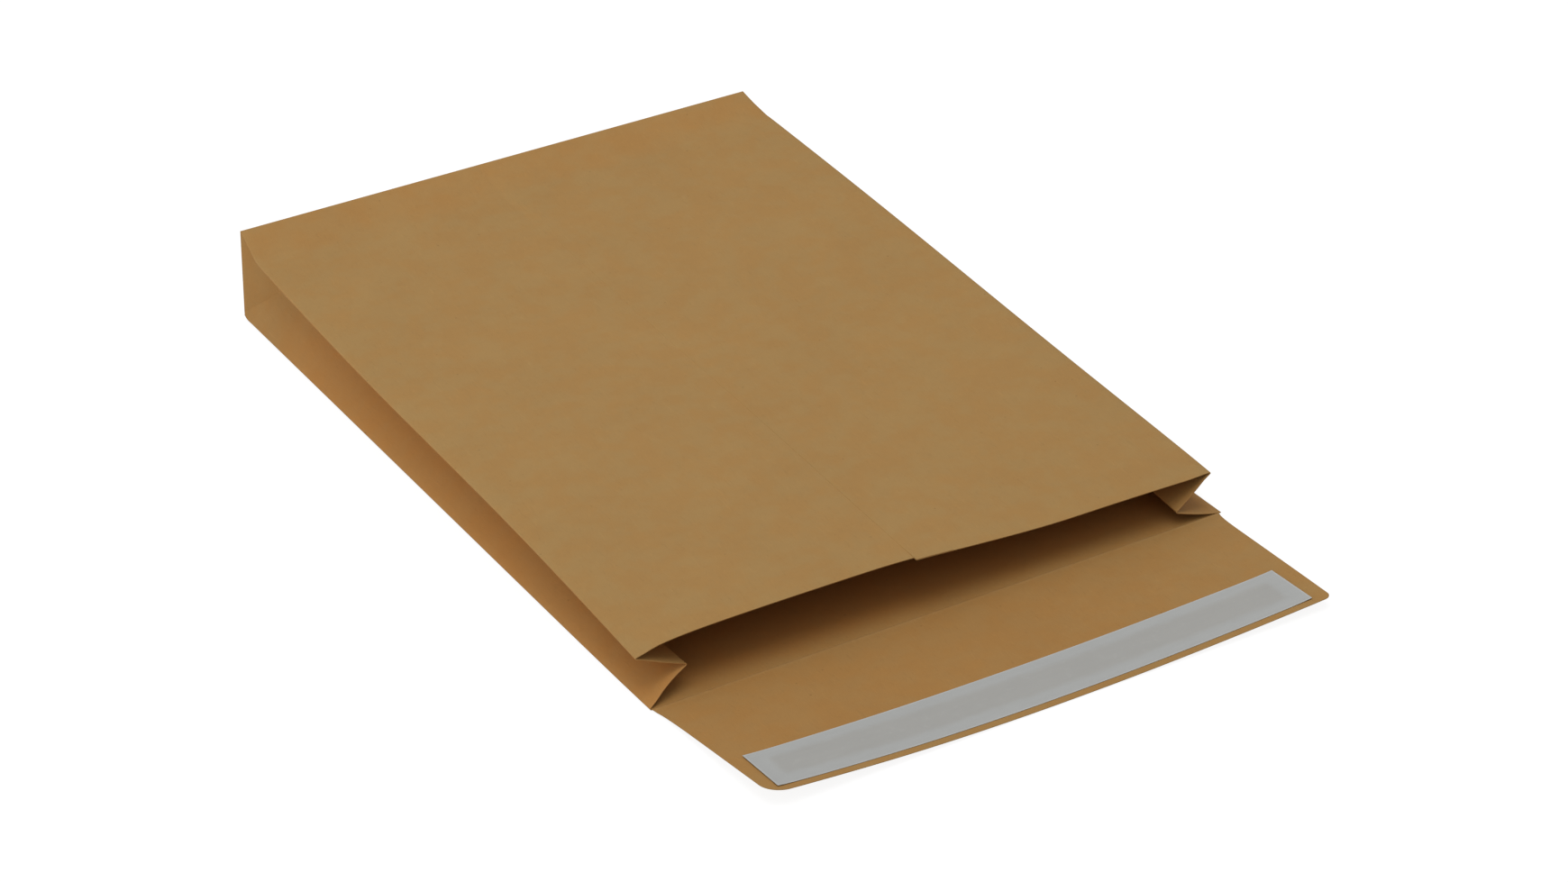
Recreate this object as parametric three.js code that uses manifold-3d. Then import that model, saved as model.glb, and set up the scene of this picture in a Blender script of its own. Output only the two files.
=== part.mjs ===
// Gusseted mailing envelope: one folded and glued kraft sheet with side gussets, a block bottom and a
// long closing flap that lies open, and the adhesive strip and release liner on the flap.
// Millimetres, +Z up. While building, the middle of the flap fold is the origin, +X runs along the
// mouth and +Y towards the closed end. At the end the group is moved so that the middle of the
// bottom of its bounding box is the origin.

import * as THREE from "three";
import { mergeVertices } from "three/addons/utils/BufferGeometryUtils.js";
import Module from "manifold-3d";

// Format of the envelope
const width = 254;
const length = 381;
const gusset = 41;
const paper = 0.25;

// Mouth, as it stands open
const leftMouthHeight = 17.5;
const rightMouthHeight = 16.3;
const leftSetback = 8.7;
const rightSetback = 5.5;
const leftGussetSetback = 7.3;
const rightGussetSetback = 0.9;
const crown = 4.9;
const crownFade = 1.4;
const rightCrown = 0.8;
const springWidth = 11;
const leftEdgeWave = 1.6;
const rightEdgeWave = -0.6;

// Closed end
const stripRise = 5.2;
const endTaper = 1.8;
const endFlapOverlap = 20;

// Lengthwise seam in the top panel
const seamWidth = 15;
const seamRamp = 2;
const seamEdge = 0.1;
const seamStep = 2;

// Closing flap
const flapLength = 81;
const flapNotch = 1.2;
const leftFlapTaper = 5.8;
const rightFlapTaper = 3.5;
const flapCorner = 8;
const leftFlapLift = 6.7;
const rightFlapLift = 4.1;

// Adhesive strip and release liner
const linerWidth = 26.5;
const linerLength = 233;
const linerEndMargin = 3.2;
const linerThickness = 0.2;
const adhesiveWidth = 14;
const adhesiveEndMargin = 7;
const adhesiveThickness = 0.2;
const stickGap = 0.2;

// Fineness of the mesh
const flatColumns = 26;
const lengthBands = 14;
const flapRows = 6;
const cornerRows = 4;
const stripColumns = 26;

const halfWidth = width / 2;
const halfGusset = gusset / 2;
const creaseHeight = gusset - stripRise;
const creaseToEnd = Math.sqrt(halfGusset ** 2 - stripRise ** 2);
const creaseY = length - creaseToEnd;

const lerp = THREE.MathUtils.lerp;
const smooth = THREE.MathUtils.smoothstep;

const wasm = await Module();
wasm.setup();

// Materials

function paperMaterial() {
  return new THREE.MeshStandardMaterial({ color: 0x9f7e4f, roughness: 0.85, metalness: 0, side: THREE.DoubleSide });
}

function adhesiveMaterial() {
  return new THREE.MeshStandardMaterial({ color: 0xcfcabb, roughness: 0.4, metalness: 0 });
}

function linerMaterial() {
  return new THREE.MeshStandardMaterial({ color: 0xa3a6a6, roughness: 0.45, metalness: 0 });
}

// Shape of the folded tube, where u runs from the mouth (0) to the crease near the closed end (1)

function sideHeight(across, u) {
  const mouth = lerp(leftMouthHeight, rightMouthHeight, across);
  const wave = lerp(leftEdgeWave, rightEdgeWave, across);
  return lerp(mouth, creaseHeight, u) + wave * Math.sin(2 * Math.PI * u);
}

function gussetDepth(height) {
  return Math.sqrt(Math.max(halfGusset ** 2 - (height / 2) ** 2, 0));
}

function crownHeight(x, u) {
  const fromLeft = x + halfWidth;
  const fromRight = halfWidth - x;
  const leftHump = (1 - Math.exp(-fromLeft / springWidth)) * (1 - smooth(x, -0.2 * halfWidth, 0.5 * halfWidth));
  const rightHump = 1 - Math.exp(-fromRight / springWidth);
  return (crown * leftHump + rightCrown * rightHump * (1 - leftHump)) * (1 - u) ** crownFade;
}

function mouthSetback(x) {
  const stepSide = x > -seamWidth / 2 ? -0.5 : 0.5;
  return lerp(leftSetback, rightSetback, (x + halfWidth) / width) + stepSide * seamStep;
}

// The columns of the top panel from left to right, with the seam's edge and ramp among them

function topColumns() {
  const columns = [];
  for (let i = 0; i <= flatColumns; i += 1) {
    columns.push({ x: lerp(-halfWidth, halfWidth, i / flatColumns), raised: false });
  }
  const seamLeft = -seamWidth / 2;
  const seamRight = seamWidth / 2;
  const clear = columns.filter(({ x }) => x < seamLeft - seamRamp || x > seamRight + 2 * seamRamp);
  clear.push({ x: seamLeft - seamEdge / 2, raised: false });
  clear.push({ x: seamLeft + seamEdge / 2, raised: true });
  clear.push({ x: seamRight, raised: true });
  clear.push({ x: seamRight + seamRamp, raised: false });
  return clear.sort((a, b) => a.x - b.x);
}

// One closed cross-section of the tube, as a list of points in order round it: the bottom panel from
// left to right, the right gusset, the top panel from right to left, and the left gusset.
// Each point has its place on the outer face and says how far the seam raises it.

function crossSection(u, atEnd) {
  const points = [];
  for (let i = 0; i <= flatColumns; i += 1) {
    const y = atEnd ? length : lerp(0, creaseY, u);
    points.push({ x: lerp(-halfWidth, halfWidth, i / flatColumns), y, z: 0, raised: false });
  }
  points.push(gussetPoint(1, u, atEnd));
  for (const { x, raised } of topColumns().reverse()) {
    points.push(topPoint(x, raised, u, atEnd));
  }
  points.push(gussetPoint(-1, u, atEnd));
  return points;
}

function gussetPoint(side, u, atEnd) {
  if (atEnd) {
    return { x: side * (halfWidth - endTaper / 2), y: length, z: halfGusset, raised: false };
  }
  const height = sideHeight((1 + side) / 2, u);
  const setback = side < 0 ? leftGussetSetback : rightGussetSetback;
  return { x: side * (halfWidth - gussetDepth(height)), y: lerp(setback, creaseY, u), z: height / 2, raised: false };
}

function topPoint(x, raised, u, atEnd) {
  const narrowing = atEnd ? endTaper : endTaper / 2 * u;
  const narrowed = x * (1 - narrowing / halfWidth);
  if (atEnd) {
    return { x: narrowed, y: length, z: gusset, raised };
  }
  const across = (x + halfWidth) / width;
  const corner = Math.abs(x) === halfWidth;
  const setback = corner ? lerp(leftSetback, rightSetback, across) : mouthSetback(x);
  const z = sideHeight(across, u) + crownHeight(x, u);
  return { x: narrowed, y: lerp(setback, creaseY, u), z, raised };
}

// Moves each point of a cross-section inwards, square to both of its neighbours' edges

function insetSection(points, distance) {
  return points.map((point, i) => {
    const before = points[(i + points.length - 1) % points.length];
    const after = points[(i + 1) % points.length];
    const first = new THREE.Vector2(point.x - before.x, point.z - before.z).normalize();
    const second = new THREE.Vector2(after.x - point.x, after.z - point.z).normalize();
    const normal = new THREE.Vector2(-first.y - second.y, first.x + second.x);
    normal.multiplyScalar(distance / (1 + first.dot(second)));
    return { ...point, x: point.x + normal.x, z: point.z + normal.y };
  });
}

// The flap's surface: v is the distance from the fold, x the place along it

function flapHalfWidth(side, v) {
  const taper = side < 0 ? leftFlapTaper : rightFlapTaper;
  const straight = halfWidth - flapNotch - (taper - flapNotch) * (v / flapLength);
  const intoCorner = THREE.MathUtils.clamp(v - (flapLength - flapCorner), 0, flapCorner);
  return straight - flapCorner + Math.sqrt(flapCorner ** 2 - intoCorner ** 2);
}

function flapLift(x, v) {
  const lift = x < 0 ? leftFlapLift : rightFlapLift;
  return lift * (v / flapLength) * (x / halfWidth) ** 2;
}

function flapDistances() {
  const distances = [];
  const straight = flapLength - flapCorner;
  for (let i = 1; i <= flapRows; i += 1) {
    distances.push(straight * i / flapRows);
  }
  for (let i = 1; i <= cornerRows; i += 1) {
    distances.push(straight + flapCorner * Math.sin(i / cornerRows * Math.PI / 2));
  }
  return distances;
}

// A closed mesh built up from points and quads

class MeshMaker {
  constructor() {
    this.positions = [];
    this.triangles = [];
  }

  point({ x, y, z }) {
    this.positions.push(x, y, z);
    return this.positions.length / 3 - 1;
  }

  row(points) {
    return points.map((point) => this.point(point));
  }

  quad(a, b, c, d) {
    this.triangles.push(a, b, c, a, c, d);
  }

  geometry() {
    const geometry = new THREE.BufferGeometry();
    geometry.setAttribute("position", new THREE.Float32BufferAttribute(this.positions, 3));
    geometry.setIndex(this.triangles);
    return geometry;
  }
}

// The tube and the flap as one sheet: an outer and an inner skin one paper thickness apart, joined
// at the mouth, round the flap's edge and at the open far end

function tubeAndFlap() {
  const maker = new MeshMaker();
  const sections = [];
  for (let i = 0; i <= lengthBands; i += 1) {
    sections.push(crossSection(i / lengthBands, false));
  }
  sections.push(crossSection(1, true));

  const outer = sections.map((points) => maker.row(points.map(raisePoint)));
  const inner = sections.map((points) => maker.row(insetSection(points, paper)));
  const count = sections[0].length;
  const rightGusset = flatColumns + 1;
  const leftGusset = count - 1;
  for (let band = 0; band < sections.length - 1; band += 1) {
    for (let i = 0; i < count; i += 1) {
      const next = (i + 1) % count;
      const toGusset = next === rightGusset || next === leftGusset;
      joinBand(maker, outer[band], outer[band + 1], i, next, toGusset, false);
      joinBand(maker, inner[band], inner[band + 1], i, next, toGusset, true);
    }
  }

  // The rims: the mouth apart from the bottom panel, and the whole far end
  for (let i = 0; i < count; i += 1) {
    const next = (i + 1) % count;
    if (i >= flatColumns) {
      maker.quad(outer[0][i], outer[0][next], inner[0][next], inner[0][i]);
    }
    const last = sections.length - 1;
    maker.quad(outer[last][next], outer[last][i], inner[last][i], inner[last][next]);
  }
  addFlap(maker, outer[0], inner[0]);
  return maker.geometry();
}

function raisePoint(point) {
  return { ...point, z: point.z + (point.raised ? paper : 0) };
}

// Joins two cross-sections between points i and next. Beside a gusset's centre line the diagonal
// starts at the panel's corner further back, so that the last one lies on the slanting crease.

function joinBand(maker, near, far, i, next, toGusset, facingIn) {
  const [a, b, c, d] = toGusset
    ? [far[i], near[i], near[next], far[next]]
    : [near[i], near[next], far[next], far[i]];
  if (facingIn) {
    maker.quad(a, b, c, d);
  } else {
    maker.quad(a, d, c, b);
  }
}

function addFlap(maker, outerMouth, innerMouth) {
  let lower = outerMouth.slice(0, flatColumns + 1);
  let upper = innerMouth.slice(0, flatColumns + 1);
  for (const v of flapDistances()) {
    const left = -flapHalfWidth(-1, v);
    const right = flapHalfWidth(1, v);
    const points = [];
    for (let i = 0; i <= flatColumns; i += 1) {
      const x = lerp(left, right, i / flatColumns);
      points.push({ x, y: -v, z: flapLift(x, v) });
    }
    const nextLower = maker.row(points);
    const nextUpper = maker.row(points.map((point) => ({ ...point, z: point.z + paper })));
    for (let i = 0; i < flatColumns; i += 1) {
      maker.quad(lower[i], lower[i + 1], nextLower[i + 1], nextLower[i]);
      maker.quad(nextUpper[i], nextUpper[i + 1], upper[i + 1], upper[i]);
    }
    maker.quad(nextUpper[0], upper[0], lower[0], nextLower[0]);
    maker.quad(upper[flatColumns], nextUpper[flatColumns], nextLower[flatColumns], lower[flatColumns]);
    lower = nextLower;
    upper = nextUpper;
  }
  for (let i = 0; i < flatColumns; i += 1) {
    maker.quad(upper[i + 1], upper[i], lower[i], lower[i + 1]);
  }
}

// The block bottom: the gussets' ends turn in first, then the lower flap folds up over them, then the
// upper flap folds down over both and is glued. Each layer lies one paper thickness further out.

function endOutline(y) {
  const u = (y - creaseY) / creaseToEnd;
  const points = [];
  for (const [side, part] of [[-1, 0], [1, 0], [1, 1], [1, 2], [-1, 2], [-1, 1]]) {
    const start = part === 0
      ? { x: side * halfWidth, z: 0 }
      : part === 1 ? gussetPoint(side, 1, false) : topPoint(side * halfWidth, false, 1, false);
    const end = part === 0
      ? { x: side * halfWidth, z: 0 }
      : part === 1 ? gussetPoint(side, 1, true) : topPoint(side * halfWidth, false, 1, true);
    points.push({ x: lerp(start.x, end.x, u), z: lerp(start.z, end.z, u) });
  }
  return insetSection(points, paper / 2);
}

function plate(points, nearY, farY) {
  const shape = new THREE.Shape(points.map(({ x, z }) => new THREE.Vector2(x, z)));
  const geometry = new THREE.ExtrudeGeometry(shape, { depth: farY - nearY, bevelEnabled: false });
  geometry.rotateX(Math.PI / 2);
  geometry.translate(0, farY, 0);
  return toSolid(geometry);
}

function blockBottom() {
  const reach = halfGusset + endFlapOverlap / 2;
  const over = 1;
  const inward = halfWidth - reach;
  const lowerFlap = [
    { x: -halfWidth - over, z: -over }, { x: halfWidth + over, z: -over },
    { x: inward, z: reach }, { x: -inward, z: reach },
  ];
  const upperFlap = lowerFlap.map(({ x, z }) => ({ x: -x, z: gusset - z }));
  const gussetEnd = (side) => [
    { x: side * inward, z: side * -over + (side < 0 ? gusset : 0) },
    { x: side * (halfWidth + over), z: side * -over + (side < 0 ? gusset : 0) },
    { x: side * (halfWidth + over), z: side * over + (side > 0 ? gusset : 0) },
    { x: side * inward, z: side * over + (side > 0 ? gusset : 0) },
  ];
  const layers = [[gussetEnd(-1), 2], [gussetEnd(1), 2], [lowerFlap, 1], [upperFlap, 0]];
  return layers.map(([shape, depth]) => {
    const farY = length - depth * paper;
    const nearY = farY - paper;
    return plate(endOutline(nearY), nearY, farY).intersect(plate(shape, nearY, farY));
  });
}

// Between three.js geometry and manifold solids

function toSolid(geometry) {
  const bare = geometry.clone();
  bare.deleteAttribute("normal");
  bare.deleteAttribute("uv");
  const merged = mergeVertices(bare, 1e-5);
  return new wasm.Manifold(new wasm.Mesh({
    numProp: 3,
    vertProperties: new Float32Array(merged.attributes.position.array),
    triVerts: new Uint32Array(merged.index.array),
  }));
}

function toGeometry(solid) {
  const mesh = solid.getMesh();
  const geometry = new THREE.BufferGeometry();
  geometry.setAttribute("position", new THREE.Float32BufferAttribute(mesh.vertProperties, 3));
  geometry.setIndex(new THREE.Uint32BufferAttribute(mesh.triVerts, 1));
  return geometry;
}

function foldedSheet() {
  return toGeometry(wasm.Manifold.union([toSolid(tubeAndFlap()), ...blockBottom()]));
}

// A thin band that follows the flap's surface, between two distances from the fold

function flapBand(bandLength, nearV, farV, height, thickness) {
  const maker = new MeshMaker();
  const rows = [];
  const surface = (v, extra) => {
    const points = [];
    for (let i = 0; i <= stripColumns; i += 1) {
      const x = lerp(-bandLength / 2, bandLength / 2, i / stripColumns);
      points.push({ x, y: -v, z: flapLift(x, v) + height + extra });
    }
    return maker.row(points);
  };
  rows.push(surface(farV, 0), surface(nearV, 0), surface(nearV, thickness), surface(farV, thickness));
  for (let side = 0; side < 4; side += 1) {
    const from = rows[side];
    const to = rows[(side + 1) % 4];
    for (let i = 0; i < stripColumns; i += 1) {
      maker.quad(from[i], to[i], to[i + 1], from[i + 1]);
    }
  }
  const last = stripColumns;
  maker.quad(rows[3][0], rows[2][0], rows[1][0], rows[0][0]);
  maker.quad(rows[0][last], rows[1][last], rows[2][last], rows[3][last]);
  return maker.geometry();
}

const linerFar = flapLength - linerEndMargin;
const linerMiddle = linerFar - linerWidth / 2;
const adhesiveHeight = paper + stickGap;
const linerHeight = adhesiveHeight + adhesiveThickness + stickGap;

function adhesiveStrip() {
  const stripLength = linerLength - 2 * adhesiveEndMargin;
  const nearV = linerMiddle - adhesiveWidth / 2;
  return flapBand(stripLength, nearV, nearV + adhesiveWidth, adhesiveHeight, adhesiveThickness);
}

function releaseLiner() {
  return flapBand(linerLength, linerFar - linerWidth, linerFar, linerHeight, linerThickness);
}

function namedMesh(name, geometry, material) {
  geometry.computeVertexNormals();
  const mesh = new THREE.Mesh(geometry, material);
  mesh.name = name;
  return mesh;
}

const envelope = new THREE.Group();
envelope.name = "mailing_envelope";
envelope.add(namedMesh("folded_sheet", foldedSheet(), paperMaterial()));
envelope.add(namedMesh("adhesive_strip", adhesiveStrip(), adhesiveMaterial()));
envelope.add(namedMesh("release_liner", releaseLiner(), linerMaterial()));

const middle = new THREE.Box3().setFromObject(envelope).getCenter(new THREE.Vector3());
envelope.position.set(-middle.x, -middle.y, 0);

export default envelope;
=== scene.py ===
import math

import bpy
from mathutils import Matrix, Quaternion, Vector, noise


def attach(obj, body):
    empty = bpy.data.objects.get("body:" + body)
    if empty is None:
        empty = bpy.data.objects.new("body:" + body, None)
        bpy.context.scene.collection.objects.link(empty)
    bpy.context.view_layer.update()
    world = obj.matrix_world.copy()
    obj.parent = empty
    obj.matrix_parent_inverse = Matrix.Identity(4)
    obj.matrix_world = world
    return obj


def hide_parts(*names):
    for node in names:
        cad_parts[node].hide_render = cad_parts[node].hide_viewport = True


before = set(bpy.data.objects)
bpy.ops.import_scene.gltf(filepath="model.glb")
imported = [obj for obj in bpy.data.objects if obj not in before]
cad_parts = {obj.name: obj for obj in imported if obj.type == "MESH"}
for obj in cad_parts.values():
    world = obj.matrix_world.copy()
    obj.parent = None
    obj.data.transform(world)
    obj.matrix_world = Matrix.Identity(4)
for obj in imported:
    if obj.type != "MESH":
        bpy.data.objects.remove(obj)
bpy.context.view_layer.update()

# Sizes in millimetres. The main ones are those of the CAD, and a few follow this envelope's own
# looks. While building, the middle of the flap fold is the origin, +X runs along the mouth and
# +Y towards the closed end.
MM = 0.001
WIDTH = 254.0
LENGTH = 381.0
GUSSET = 41.0
PAPER = 0.3

LEFT_MOUTH_HEIGHT = 17.5
RIGHT_MOUTH_HEIGHT = 16.3
LEFT_SETBACK = 8.7
RIGHT_SETBACK = 5.5
LEFT_GUSSET_SETBACK = 7.3
RIGHT_GUSSET_SETBACK = 0.9
CROWN = 4.9
CROWN_FADE = 1.4
CROWN_FALL_START = -0.2
CROWN_FALL_END = 0.5
RIGHT_CROWN = 0.8
SPRING_WIDTH = 14.0
LEFT_EDGE_WAVE = 1.6
RIGHT_EDGE_WAVE = -0.6

STRIP_RISE = 5.2
END_TAPER = 1.8
END_FLAP_OVERLAP = 20.0
END_LEFT_RISE = 1.2

SEAM_WIDTH = 15.0
SEAM_RAMP = 2.0
SEAM_STEP = 2.0
SEAM_STEP_REACH = 12.0
SEAM_EDGE = 0.04
SEAM_RISE_AT_MOUTH = 0.8
SEAM_RISE_BEYOND = 0.18

FLAP_LENGTH = 81.0
FLAP_NOTCH = 1.2
FLAP_NOTCH_LENGTH = 5.0
LEFT_FLAP_TAPER = 5.8
RIGHT_FLAP_TAPER = 3.5
LEFT_FLAP_CORNER = 8.0
RIGHT_FLAP_CORNER = 3.0
LEFT_FLAP_LIFT = 6.7
RIGHT_FLAP_LIFT = 4.1

LINER_WIDTH = 26.5
LINER_LENGTH = 233.0
LINER_END_MARGIN = 3.2
LINER_THICKNESS = 0.16
LINER_CURL = 0.35
LINER_CURL_LENGTH = 5.0
ADHESIVE_WIDTH = 14.0
ADHESIVE_END_MARGIN = 7.0
ADHESIVE_THICKNESS = 0.16

HALF_WIDTH = WIDTH / 2
HALF_GUSSET = GUSSET / 2
CREASE_HEIGHT = GUSSET - STRIP_RISE
CREASE_TO_END = math.sqrt(HALF_GUSSET ** 2 - STRIP_RISE ** 2)
CREASE_Y = LENGTH - CREASE_TO_END
MIDDLE_Y = (LENGTH - FLAP_LENGTH) / 2

# How finely the paper is meshed
PANEL_COLUMNS = 72
GUSSET_COLUMNS = 5
FOLD_STEPS = 4
END_STEPS = 4
MOUTH_ZONE = 14
CREASE_ZONE = 6

# How softly the paper is folded
FOLD_RADIUS = 0.55
LONGEST_FOLD_REACH = 2.2
GUSSET_SOFTNESS = 1.6
PANEL_SOFTNESS = 4.0
SOFTNESS_REACH = 14.0
END_ROUNDING = 0.8
FOLD_SPLIT = 0.5
FOLD_END = 0.985
FLATTEST_FOLD = math.radians(88)
FLAT_FOLD_REACH = 0.5
LARGEST_SHARE = 0.45
FAR_CORNER_LENGTH = 5.0
FAR_CORNER_WIDTH = 6.0
FAR_CORNER_RISE = 2.6
SHARP_ANGLE = math.radians(38)

# How far the sides stand out from their straight lines, and how that differs at the mouth
SIDE_BULGE = 1.0
BOTTOM_END_BULGE = 1.0
MOUTH_BULGE = {"left top": 0.9, "right top": 0.2, "left bottom": 0.5, "right bottom": 1.4}
MOUTH_REACH = 28.0
BULGE_FADE = 8.0
LEFT_TIP_SHIFT = (1.1, 0.8)
RIGHT_TIP_SHIFT = (-0.5, -1.9)

# How the gussets bow near the mouth, and how uneven the paper lies
LEFT_LOW_BOW = -1.3
RIGHT_LOW_BOW = 0.5
HIGH_BOW = -0.4
BOW_REACH = 45.0
UNEVENNESS = 0.5
UNEVEN_SIZE = 95.0
FLAP_UNEVENNESS = 0.12
FLAP_UNEVEN_SIZE = 60.0
FLAP_UNEVEN_START = 25.0
FOLD_RIDGE = 0.3
FOLD_RIDGE_AT = 0.9
FOLD_RIDGE_WIDTH = 1.1
PANEL_SEED = 2.0
FLAP_SEED = 7.0
END_SEED = 11.0

# Where the paper is worn, with a painted highlight along the flap's fold, and where a deeper, more
# orange colour is painted as shade
FOLD_WEAR = 0.5
MOUTH_WEAR = 0.55
MOUTH_WEAR_LENGTH = 0.5
FLAP_FOLD_WEAR_AND_HIGHLIGHT = 0.9
FLAP_FOLD_WEAR_AND_HIGHLIGHT_WIDTH = 0.7
END_WEAR = 0.3
STRIP_TONE = 0.3
STRIP_TONE_BEFORE = 9.0
STRIP_TONE_AFTER = 7.0
GUSSET_TONE_BEFORE = 60.0
GUSSET_TONE_MARGIN = 15.0
LOW_TONE_LOSS = 0.8
LOW_TONE_REACH = 40.0
END_PAINTED_SHADE = 0.4
FLAP_TONE_LOSS = 0.5
FLAP_TONE_V = 45.0
FLAP_TONE_X = 20.0
INSIDE_TONE_LENGTH = 16.0


# Small helpers

def lerp(a, b, t):
    return a + (b - a) * t


def smooth(x, low, high):
    t = min(max((x - low) / (high - low), 0.0), 1.0)
    return t * t * (3 - 2 * t)


def ripple(x, y, size, seed):
    """A smooth, gentle unevenness from -1 to 1 with waves about that size across."""
    return noise.noise(Vector((x / size, y / size, seed)))


def placed(point):
    """A point of the building frame, in millimetres, as a point of the CAD frame, in metres."""
    return Vector((point[0] * MM, (point[1] - MIDDLE_Y) * MM, point[2] * MM))


# Shape of the tube, where u runs from the mouth (0) to the crease near the closed end (1)

def side_height(across, u):
    mouth = lerp(LEFT_MOUTH_HEIGHT, RIGHT_MOUTH_HEIGHT, across)
    wave = lerp(LEFT_EDGE_WAVE, RIGHT_EDGE_WAVE, across)
    return lerp(mouth, CREASE_HEIGHT, u) + wave * math.sin(2 * math.pi * u)


def gusset_depth(height):
    return math.sqrt(max(HALF_GUSSET ** 2 - (height / 2) ** 2, 0.0))


def crown_height(x, u):
    left = 1 - math.exp(-(x + HALF_WIDTH) / SPRING_WIDTH)
    left *= 1 - smooth(x, CROWN_FALL_START * HALF_WIDTH, CROWN_FALL_END * HALF_WIDTH)
    right = 1 - math.exp(-(HALF_WIDTH - x) / SPRING_WIDTH)
    return (CROWN * left + RIGHT_CROWN * right * (1 - left)) * (1 - u) ** CROWN_FADE


def top_setback(x):
    side = -0.5 if x > -SEAM_WIDTH / 2 else 0.5
    from_corner = min(x + HALF_WIDTH, HALF_WIDTH - x)
    step = side * SEAM_STEP * smooth(from_corner, 0, SEAM_STEP_REACH)
    return lerp(LEFT_SETBACK, RIGHT_SETBACK, (x + HALF_WIDTH) / WIDTH) + step


def along(setback, y):
    """Where a line that starts set back from the fold has got to, abreast of y."""
    if y >= CREASE_Y:
        return y
    return lerp(setback, CREASE_Y, y / CREASE_Y)


def bulged(x, y, level):
    """A panel's x, moved out towards the nearer side by what the sides stand out."""
    side = "left" if x < 0 else "right"
    at_mouth = MOUTH_BULGE[side + " " + level] - SIDE_BULGE
    at_end = BOTTOM_END_BULGE if level == "bottom" else 0.0
    bulge = lerp(SIDE_BULGE, at_end, smooth(y, CREASE_Y - BULGE_FADE, LENGTH))
    bulge += at_mouth * math.exp(-y / MOUTH_REACH)
    return x * (1 + bulge / HALF_WIDTH)


def bottom_point(x, y):
    """A point of the lower panel, whose far corners are turned up a little."""
    into = min(max((y - LENGTH + FAR_CORNER_LENGTH) / FAR_CORNER_LENGTH, 0.0), 1.0)
    rounding = 1 - math.sqrt(1 - into ** 2)
    rounding *= smooth(abs(x), HALF_WIDTH - FAR_CORNER_WIDTH, HALF_WIDTH)
    return Vector((bulged(x, y, "bottom"), y, FAR_CORNER_RISE * rounding))


def top_point(x, y):
    u = min(y / CREASE_Y, 1.0)
    end = max((y - CREASE_Y) / CREASE_TO_END, 0.0)
    narrowed = bulged(x, y, "top") * (1 - lerp(END_TAPER / 2 * u, END_TAPER, end) / HALF_WIDTH)
    across = (x + HALF_WIDTH) / WIDTH
    height = side_height(across, u) + crown_height(x, u)
    z = lerp(height, GUSSET + END_LEFT_RISE * (1 - across), end)
    return Vector((narrowed, along(top_setback(x), y), z))


def gusset_line(side, y):
    """The gusset's centre line from the mouth to where the two slanting creases part."""
    u = min(y / CREASE_Y, 1.0)
    height = side_height((1 + side) / 2, u)
    setback = LEFT_GUSSET_SETBACK if side < 0 else RIGHT_GUSSET_SETBACK
    shift = LEFT_TIP_SHIFT if side < 0 else RIGHT_TIP_SHIFT
    fade = math.exp(-y / MOUTH_REACH)
    x = side * (HALF_WIDTH - gusset_depth(height)) + shift[0] * fade
    return Vector((x, along(setback, y), height / 2 + shift[1] * fade))


def gusset_fold(side, upper, y):
    """One of the two lines beside the gusset's centre fold, which part into the end's creases."""
    corner = top_point if upper else bottom_point
    centre = gusset_line(side, min(y, CREASE_Y))
    panel = corner(side * HALF_WIDTH, min(y, CREASE_Y))
    start = centre + (panel - centre).normalized() * FOLD_SPLIT
    if y <= CREASE_Y:
        return start
    end = min((y - CREASE_Y) / (CREASE_TO_END - END_ROUNDING), 1.0) * FOLD_END
    return start.lerp(corner(side * HALF_WIDTH, LENGTH), end)


def softened(place, y, softness=GUSSET_SOFTNESS):
    """The mean of a place's position around y, which rounds off a crease across the envelope."""
    reach = min(softness, y, LENGTH - y)
    if reach <= 0:
        return place(y)
    outer_weight = 0.125
    inner_weight = 0.25
    mean = place(y - reach) * outer_weight + place(y + reach) * outer_weight
    mean += (place(y - reach / 2) + place(y) + place(y + reach / 2)) * inner_weight
    return Vector((mean.x, place(y).y, mean.z))


# One closed cross-section of the tube: runs of points with a rounded fold between each two runs.
# Each point is (position, seam rise, wear, shade), and the last two guide the paper's colour: wear
# makes it paler, and shade paints shade as a deeper, more orange colour.

def seam_rise(x):
    if x <= -SEAM_WIDTH / 2:
        return 0.0
    return PAPER * (1 - smooth(x, SEAM_WIDTH / 2, SEAM_WIDTH / 2 + SEAM_RAMP))


def top_columns():
    """Columns across the top panel, with closer ones at the seam's step and ramp."""
    edge = SEAM_WIDTH / 2
    step_clearance = 0.6
    ramp_clearance = 2
    ramp_steps = 4
    columns = [x for x in EVEN_COLUMNS if abs(x + edge) > step_clearance]
    columns = [x for x in columns if abs(x - edge - SEAM_RAMP / 2) > ramp_clearance]
    columns += [-edge - SEAM_EDGE, -edge + SEAM_EDGE]
    columns += [edge + SEAM_RAMP * i / ramp_steps for i in range(ramp_steps + 1)]
    return sorted(columns)


EVEN_COLUMNS = [lerp(-HALF_WIDTH, HALF_WIDTH, i / PANEL_COLUMNS) for i in range(1, PANEL_COLUMNS)]
TOP_COLUMNS = top_columns()


def panel_softness(x):
    return lerp(GUSSET_SOFTNESS, PANEL_SOFTNESS, smooth(HALF_WIDTH - abs(x), 0, SOFTNESS_REACH))


def bottom_run(y):
    """Points across the lower panel."""
    run = []
    for x in EVEN_COLUMNS:
        point = softened(lambda at, x=x: bottom_point(x, at), y, panel_softness(x))
        run.append((point, 0.0))
    return run


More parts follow.
